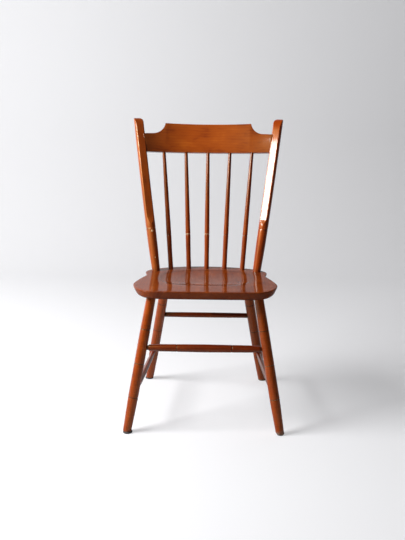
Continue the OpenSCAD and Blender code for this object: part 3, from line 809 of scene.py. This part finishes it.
# %% Post shape
POST_RISE = 480.0
POST_SPLAY = math.radians(8.1)
POST_LEAN = (math.radians(13.0), math.radians(24.1))
POST_D = (26.0, 31.4)
POST_RING = 134.0
FLAT_FROM = POST_RING + 14.0
FLAT_RUN_IN = 27.0
FLAT_OFFSET = 10.8
FLAT_TURN = math.radians(20.0)
FRONT_ROLL = 38.0
FRONT_ROLL_DEEP = 16.0
THUMB = 16.0
OUTER_CORNER = 5.5
ARRIS = 0.9
POST_BEND = (math.tan(POST_LEAN[1]) - math.tan(POST_LEAN[0])) / (2 * POST_RISE)


def post_path(side, rise):
    """A post's axis above its foot, in millimetres."""
    back = math.tan(POST_LEAN[0]) * rise + POST_BEND * rise * rise
    return Vector((side * math.tan(POST_SPLAY) * rise, back, rise))


def post_radius(rise):
    base, full = POST_D[0] / 2, POST_D[1] / 2
    swell = base + (full - base) * math.sin(math.pi / 2 * min(1.0, max(0.0, rise / POST_RING)))
    depth = 0.0
    for (low, low_share), (high, high_share) in zip(GROOVE, GROOVE[1:]):
        if low <= rise - POST_RING <= high:
            depth = low_share + (high_share - low_share) * (rise - POST_RING - low) / (high - low)
    return swell - GROOVE_DEEP * depth


def flat_at(rise):
    """Distance from the axis to the planed flat, or the radius where there is none yet."""
    full = post_radius(rise)
    if rise <= FLAT_FROM:
        return full
    run = min(1.0, (rise - FLAT_FROM) / FLAT_RUN_IN)
    roll = max(0.0, 1 - (POST_RISE - rise) / FRONT_ROLL)
    rolled = FRONT_ROLL_DEEP * (1 - math.sqrt(max(0.0, 1 - roll * roll)))
    return full - (full - FLAT_OFFSET) * math.sin(run * math.pi / 2) - rolled


def corner_at(rise, radius):
    """Half width left where a corner of that radius is rounded over at the top."""
    over = max(0.0, radius - (POST_RISE - rise))
    return POST_D[1] / 2 - radius + math.sqrt(max(0.0, radius ** 2 - over ** 2))


ARC_STEPS = 40
FLAT_STEPS = 8


def post_section(rise):
    """(forward, sideways) points of a post's section: round the back, then across the flat."""
    radius = post_radius(rise)
    flat = min(flat_at(rise), radius * 0.99999)
    corner = math.acos(flat / radius)
    round_part = [corner + (2 * math.pi - 2 * corner) * i / ARC_STEPS for i in range(ARC_STEPS + 1)]
    points = [(radius * math.cos(a), radius * math.sin(a)) for a in round_part]
    half = radius * math.sin(corner)
    points += [(flat, half * (2 * i / FLAT_STEPS - 1)) for i in range(1, FLAT_STEPS)]
    inner, outer = corner_at(rise, THUMB), corner_at(rise, OUTER_CORNER)
    return [(f, max(-outer, w) if w < 0 else w * inner / (POST_D[1] / 2)) for f, w in points]


def post_ring(side, rise):
    """The ring of a post's surface at a rise, in millimetres from its foot."""
    step = post_path(side, rise + 0.5) - post_path(side, rise - 0.5)
    up = step.normalized()
    facing = Vector((-side * math.sin(FLAT_TURN), -math.cos(FLAT_TURN), 0))
    front = (facing - up * facing.dot(up)).normalized()
    inward = front.cross(up).normalized() * side
    return [post_path(side, rise) + front * f + inward * w for f, w in post_section(rise)]


# %% Post meshes
plain_rises = [-4.0, 0.0, 15.0, 35.0, 60.0, 85.0, 110.0, 126.0]
groove_rises = [POST_RING + w for w, share in GROOVE]
SCOOP_SHARES = (0.0, 0.01, 0.03, 0.06, 0.1, 0.16, 0.24, 0.34, 0.46, 0.6, 0.8, 1.0)
scoop_rises = [FLAT_FROM + FLAT_RUN_IN * share for share in SCOOP_SHARES]
flat_rises = [FLAT_FROM + FLAT_RUN_IN + (POST_RISE - FRONT_ROLL - FLAT_FROM - FLAT_RUN_IN) * i / 15
              for i in range(1, 15)]
top_rises = [POST_RISE - FRONT_ROLL * (1 - math.sin(math.radians(a))) for a in (*range(0, 79, 6), 83, 87)]
post_rises = plain_rises + groove_rises + scoop_rises + flat_rises + top_rises
ARRIS_FROM = scoop_rises[5]
POST_SLICE = 0.465


def post_foot(node, side):
    """Where a post's axis meets the seat, from a slice through its round lower part."""
    middle = slice_middle(node, 2, POST_SLICE)
    foot = middle.copy()
    # the slanting seat and the bend depend on each other, and four rounds settle them
    for _ in range(4):
        foot.z = seat_front.z - math.tan(SEAT_SLOPE) * (foot.y - seat_front.y)
        offset = post_path(side, (POST_SLICE - foot.z) / MM) * MM
        foot.x, foot.y = middle.x - offset.x, middle.y - offset.y
    return foot


def make_post(node, name, side, material):
    """A bent post with the two edges of its flat softened. Returns where its foot stands."""
    foot = post_foot(node, side)
    place = Matrix.Translation(foot) @ Matrix.Scale(MM, 4)
    post = bmesh.new()
    made = stack(post, [post_ring(side, rise) for rise in post_rises])
    arrises = []
    for low, high, rise in zip(made, made[1:], post_rises):
        if rise >= ARRIS_FROM:
            arrises += [post.edges.get((low[i], high[i])) for i in (0, ARC_STEPS)]
    round_edges(post, arrises, ARRIS, 2)
    post.transform(place)

    def unbend(p):
        axis = post_path(side, p.z)
        return Vector((p.x - axis.x, p.y - axis.y, p.z))

    finish_piece(
        post, name, material, "stained_maple_back", [node], place, unbend,
        # glaze in the groove, and painted shade at the foot, where the post meets the seat
        glaze=lambda p: max(groove_glaze((POST_RING,), 0.8)(p), 0.6 * fade(p.z, 7)),
        rub=ring_rub([(POST_RING, 0.3)]),
    )
    return foot


post_feet = {
    -1: make_post("back_post_left", "bent_post_left", -1, chipped_maple),
    1: make_post("back_post_right", "bent_post_right", 1, post_maple),
}
print("post feet:", [[round(v / MM, 1) for v in foot] for foot in post_feet.values()])

# %% [markdown]
# ## Crest rail
#
# The rail starts as a flat board sawn to shape, with a quarter circle scooped out at each
# shoulder, and is then steamed and bent. The mesh goes the same way: outline, thickness, rounded
# edges, cuts every few millimetres so that it can bend, and then the bend. A slice through the
# frame's rail shows where its middle stands.

# %% Crest rail
RAIL_LEAN = math.radians(20.0)
RAIL_HIGH = 96.0
RAIL_SCOOP, RAIL_END = 59.5, 56.5
SCOOP_RADIUS = 42.0
RAIL_RAISED = 284.0
RAIL_THICK = 17.0
RAIL_BOW = 31.0
RAIL_ARCH = 4.5
RAIL_EDGE = 1.8
RAIL_SHOULDER_IN = 11.5
RAIL_CUT_APART = 9
END_SHADE_FROM, END_SHADE_OVER = 50, 150
# painted shade towards the rail's ends, strongest at the left end
LEFT_END_PAINTED_SHADE, RIGHT_END_PAINTED_SHADE = 0.7, 0.3

rail_low, rail_high = slice_box("crest_rail", 0, 0.0)
rail_up = Vector((0, math.sin(RAIL_LEAN), math.cos(RAIL_LEAN)))
rail_foot = (rail_low + rail_high) / 2 - rail_up * RAIL_HIGH / 2 * MM
rail_place = Matrix.Translation(rail_foot) @ Matrix.Rotation(-RAIL_LEAN, 4, "X") @ Matrix.Scale(MM, 4)

rail_rise = (rail_foot.z - post_feet[1].z) / MM + RAIL_BOW * math.sin(RAIL_LEAN)
rail_half = post_feet[1].x / MM + math.tan(POST_SPLAY) * rail_rise
rail_radius = (rail_half ** 2 + RAIL_BOW ** 2) / (2 * RAIL_BOW)


def rail_bottom(x):
    """Height of the rail's lower edge, which arches up in the middle."""
    return -RAIL_ARCH * (x / rail_half) ** 2


def rail_reach(z):
    """Half of the rail's length to its shoulder, which follows the splay of the posts."""
    return rail_half - RAIL_SHOULDER_IN + math.tan(POST_SPLAY) * z * math.cos(RAIL_LEAN)


def rail_outline():
    """The rail seen square on, from the left end of its lower edge round to the right and back."""
    reach = rail_reach(rail_bottom(rail_half))
    bottom = [(reach * s / 16, rail_bottom(reach * s / 16)) for s in range(-16, 17)]
    right = [(rail_reach(RAIL_END), RAIL_END)]
    last = math.asin((SCOOP_RADIUS + RAIL_SCOOP - RAIL_HIGH) / SCOOP_RADIUS)
    middle = RAIL_RAISED / 2 + SCOOP_RADIUS * math.cos(last)
    for i in range(13):
        a = math.pi / 2 - (math.pi / 2 - last) * i / 12
        right.append((middle - SCOOP_RADIUS * math.cos(a),
                      RAIL_SCOOP + SCOOP_RADIUS - SCOOP_RADIUS * math.sin(a)))
    return bottom + right + [(-x, z) for x, z in reversed(right)]


rail = bmesh.new()
front_face = bmesh.ops.contextual_create(rail, geom=edges_of(rail, loop_of(
    rail, [Vector((x, -RAIL_THICK / 2, z)) for x, z in rail_outline()])))["faces"]
pushed = bmesh.ops.extrude_face_region(rail, geom=front_face, use_keep_orig=True)
bmesh.ops.translate(rail, vec=(0, RAIL_THICK, 0), verts=verts_in(pushed["geom"]))
faces_out(rail)
long_edges = [e for e in rail.edges if abs(e.verts[0].co.y - e.verts[1].co.y) < 0.01
              and max(abs(v.co.x) for v in e.verts) < rail_reach(RAIL_END) + 1]
round_edges(rail, long_edges, RAIL_EDGE, 3)
for x in range(-207, 208, RAIL_CUT_APART):
    cut_by_plane(rail, (x, 0, 0), (1, 0, 0))
for vert in rail.verts:
    vert.co.y = math.sqrt((rail_radius + vert.co.y) ** 2 - vert.co.x ** 2) - rail_radius
rail.transform(rail_place)


def rail_unbend(p):
    """Takes the steamed bend out again."""
    return Vector((p.x, math.hypot(p.x, p.y + rail_radius) - rail_radius, p.z))


def rail_glaze(point):
    """Painted shade: darker against the posts, where they shade the rail, and towards both ends, most at
    the left end, which turns from the light.
    """
    painted_post_shadow = 0.55 * fade(rail_reach(point.z) - 4.0 - abs(point.x), 9)
    # the left end gets more painted shade
    shade = LEFT_END_PAINTED_SHADE if point.x < 0 else RIGHT_END_PAINTED_SHADE
    return max(painted_post_shadow, shade * max(0.0, (abs(point.x) - END_SHADE_FROM) / END_SHADE_OVER) ** 1.2)


finish_piece(
    rail, "bent_crest_rail", rail_maple, "stained_maple_back", ["crest_rail"], rail_place, rail_unbend,
    grain=lambda p: Vector((p.z, p.y, p.x)), glaze=rail_glaze,
)
print("rail half span", round(rail_half, 1), "bend radius", round(rail_radius, 1))

# %% [markdown]
# ## Glides
#
# Three feet stand on broad nail-on pads with rounded rims, two black and one tan, all dulled by
# dirt. The fourth has only a small worn steel glide left. Each is a disc with a nail up its
# middle, spun like the turnings, with its rims rounded in the outline.

# %% Glide materials


def dull_pad(name, colour, dusty, rough, metal=0.0):
    """A moulded or pressed glide whose face is scratched and dusty from the floor."""
    material, tree, output = new_material(name)
    place = add(tree, "TexCoord").outputs["Object"]
    # specks a little over a millimetre across
    specks = add(tree, "TexNoise", {"Vector": place, "Scale": 900.0, "Detail": 4.0})
    dust = add(tree, "MapRange", {"Value": specks.outputs["Fac"], "From Min": 0.45, "From Max": 0.7})
    colour_mix = add(tree, "Mix", {
        0: dust.outputs[0], 6: linear(colour), 7: linear(dusty),
    }, data_type="RGBA")
    bump = add(tree, "Bump", {"Height": specks.outputs["Fac"], "Strength": 0.5, "Distance": 0.0002})
    shader = add(tree, "BsdfPrincipled", {
        "Base Color": colour_mix.outputs[2], "Roughness": rough, "Metallic": metal,
        "Normal": bump.outputs[0],
    })
    tree.links.new(shader.outputs[0], output.inputs["Surface"])
    return material


black_pad = dull_pad("moulded rubber, black and dusty", "#201a17", "#5a5048", 0.6)
tan_pad = dull_pad("moulded rubber, tan", "#8a7050", "#5f4d39", 0.65)
worn_steel = dull_pad("pressed steel, worn", "#8f8c88", "#4a3c32", 0.42, metal=1.0)

# %% Glides
NAIL_RADIUS = 1.5
NAIL_LENGTH = 14.0
PAD_STEPS = 12


def make_glide(node, material, slot):
    """A round pad that fills the node's box across, with its nail standing on it."""
    low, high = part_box(node)
    middle = Vector(((low.x + high.x) / 2, (low.y + high.y) / 2, low.z))
    height = GLIDE_HEIGHTS[node]
    radius = (high.x - low.x) / 2 / MM
    rim = height / 3
    outline_points = [(0.0, 0.0)]
    for i in range(PAD_STEPS + 1):
        z = height * i / PAD_STEPS
        from_edge = max(0.0, rim - min(z, height - z))
        outline_points.append((radius - rim + math.sqrt(max(0.0, rim ** 2 - from_edge ** 2)), z))
    nail_top = height + NAIL_LENGTH
    glide = spun(outline_points + [(NAIL_RADIUS, height), (NAIL_RADIUS, nail_top), (0.0, nail_top)])
    place = Matrix.Translation(middle) @ Matrix.Scale(MM, 4)
    glide.transform(place)
    finish_piece(glide, node.replace("_glide", "_nailed_glide"), material, slot, [node], place)


make_glide("front_left_glide", black_pad, "black_rubber")
make_glide("front_right_glide", worn_steel, "worn_steel")
make_glide("rear_left_glide", black_pad, "black_rubber")
make_glide("rear_right_glide", tan_pad, "tan_rubber")

# %% [markdown]
# ## Studio
#
# The floor and wall are one pale sweep. A bright window stands high on the left, and below it a
# broad dim panel, so that the left of each turning glows and the right falls dark. A second high
# window only gives reflections, which are the long gleams on the lacquer. A weak lamp behind keeps
# the back of the chair readable and gives no highlights.
#
# The sweep itself is painted mid grey, so that it throws little light back up at the chair. It
# shows pale to the camera through Light Path, with painted light that is a little brighter on the
# left, where the windows are, and fades to the right. Reflections show the part behind the chair
# too, as a painted reflection, bright on the left and fading to dark on the right. That way the
# background is pale without more diffuse light on the wood, which gets the glow only in its
# reflections.

# %% Sweep
SWEEP_HALF = 6.0
SWEEP_FRONT = -5.0
WALL_Y = 2.3
SWEEP_RADIUS = 0.7
WALL_TOP = 5.0


def pale_sweep(name, colour):
    material, tree, output = new_material(name)
    place = add(tree, "TexCoord").outputs["Object"]
    apart = add(tree, "SeparateXYZ", {"Vector": place})
    slope, level, behind, reflection_glow_left = [add(tree, "MapRange", {
        "Value": apart.outputs[axis], "From Min": start, "From Max": stop, "To Min": low, "To Max": high,
    }).outputs[0] for axis, start, stop, low, high in (
        # how fast the painted light fades to the right, and how strong it is, from the chair to the wall
        ("Y", 0.0, WALL_Y, -0.10, -0.095),
        ("Y", -0.6, WALL_Y, 0.50, 0.36),
        # the floor in front of the chair is no background, so reflections see it as it is
        ("Y", 0.5, 1.5, 0.0, 1.0),
        # painted reflection: the glow that reflections see is strong on the left and dim on the right,
        # so the left of each turning gleams and its right falls dark
        ("X", -1.0, 1.2, 2.2, 0.1),
    )]
    painted_light_level = add(tree, "Math", {
        0: apart.outputs["X"], 1: slope, 2: level,
    }, operation="MULTIPLY_ADD")
    painted_light_level = add(tree, "Clamp", {"Value": painted_light_level.outputs[0], "Min": 0.2, "Max": 1.0})
    path = add(tree, "LightPath")
    mirrored = add(tree, "Math", {
        0: path.outputs["Is Glossy Ray"], 1: path.outputs["Is Transmission Ray"],
    }, operation="MAXIMUM")
    for share in (behind, reflection_glow_left):
        mirrored = add(tree, "Math", {0: mirrored.outputs[0], 1: share}, operation="MULTIPLY")
    seen = add(tree, "Math", {
        0: path.outputs["Is Camera Ray"], 1: mirrored.outputs[0],
    }, operation="MAXIMUM")
    strength = add(tree, "Math", {0: seen.outputs[0], 1: painted_light_level.outputs[0]},
                   operation="MULTIPLY")
    paint = add(tree, "BsdfDiffuse", {"Color": linear(colour)})
    # the glow is painted light on the sweep, and a painted reflection on the wood
    painted_glow = add(tree, "Emission", {"Color": linear("#fdfdff"), "Strength": strength.outputs[0]})
    both = add(tree, "AddShader", {0: paint.outputs[0], 1: painted_glow.outputs[0]})
    tree.links.new(both.outputs[0], output.inputs["Surface"])
    return material


sweep_bm = bmesh.new()
profile = [(SWEEP_FRONT, 0.0)]
profile += [(WALL_Y - SWEEP_RADIUS + SWEEP_RADIUS * math.sin(math.radians(a)),
             SWEEP_RADIUS - SWEEP_RADIUS * math.cos(math.radians(a))) for a in range(0, 91, 5)]
profile.append((WALL_Y, WALL_TOP))
line = [sweep_bm.verts.new((-SWEEP_HALF, y, z)) for y, z in profile]
line_edges = [sweep_bm.edges.new(pair) for pair in zip(line, line[1:])]
swept = bmesh.ops.extrude_edge_only(sweep_bm, edges=line_edges)
bmesh.ops.translate(sweep_bm, vec=(2 * SWEEP_HALF, 0, 0), verts=verts_in(swept["geom"]))
faces_out(sweep_bm)
sweep_paint = pale_sweep("grey sweep with painted light", "#bcbcbe")
sweep = into_scene("pale_sweep", as_mesh(sweep_bm, "pale_sweep", sweep_paint))

# %% Lights


def lamp(name, place, target, width, height, radiance, colour="#ffffff"):
    """A soft rectangular lamp that faces a target and shows that radiance."""
    light = bpy.data.lights.new(name, "AREA")
    light.shape = "RECTANGLE"
    light.size = width
    light.size_y = height
    light.energy = radiance * math.pi * width * height
    light.color = linear(colour)[:3]
    holder = into_scene(name, light)
    holder.location = place
    holder.rotation_euler = (Vector(target) - Vector(place)).to_track_quat("-Z", "Y").to_euler()
    holder.visible_camera = False
    print("lamp", name, "radiance", radiance)
    return holder


gleam = lamp("high_window", (-1.27, -1.53, 2.14), (0.2, 0.15, 0.75), 0.56, 0.95, 30)
gleam.visible_diffuse = False
lamp("side_window", (-2.1, -0.75, 1.95), (0.0, 0.1, 0.6), 1.3, 0.95, 30)
lamp("pale_panel", (-2.4, -0.3, 0.7), (0, 0, 0.5), 3.4, 1.2, 0.4)
back_lamp = lamp("back_fill", (1.7, 2.1, 1.5), (0, 0, 0.5), 2.4, 2.0, 1.0)
back_lamp.visible_glossy = False

world = bpy.data.worlds.new("dim_room")
world.use_nodes = True
room = world.node_tree
room.nodes.clear()
room_path = add(room, "LightPath")
room_level = add(room, "MapRange", {
    "Value": room_path.outputs["Is Camera Ray"], "To Min": 0.06, "To Max": 0.8,
})
room_shade = add(room, "Background", {"Color": linear("#f6f6fa"), "Strength": room_level.outputs[0]})
add(room, "OutputWorld", {"Surface": room_shade.outputs[0]})
bpy.context.scene.world = world

# %% [markdown]
# ## Camera
#
# The camera stands in front of the chair at eye height for someone seated, a little over two
# metres from the seat's front edge, and looks slightly down.

# %% Camera
EYE_HEIGHT = 1.0656
EYE_DISTANCE = 2.2215
EYE_RIGHT = 0.0319
LOOK_DOWN = math.radians(14.1)
LOOK_LEFT = math.radians(1.0)
ROLL = math.radians(0.5)
FOCAL_IN_HALF_HEIGHTS = 2.974074

eye = bpy.data.cameras.new("eye")
eye.sensor_fit = "VERTICAL"
eye.angle = 2 * math.atan(1 / FOCAL_IN_HALF_HEIGHTS)
camera = into_scene("eye", eye)
camera.matrix_world = (
    Matrix.Translation((EYE_RIGHT, seat_low.y - EYE_DISTANCE, EYE_HEIGHT))
    @ Matrix.Rotation(LOOK_LEFT, 4, "Z")
    @ Matrix.Rotation(math.pi / 2 - LOOK_DOWN, 4, "X")
    @ Matrix.Rotation(ROLL, 4, "Z")
)
bpy.context.scene.camera = camera
print("camera at", [round(v, 3) for v in camera.location])
bpy.context.scene.view_settings.view_transform = "Standard"
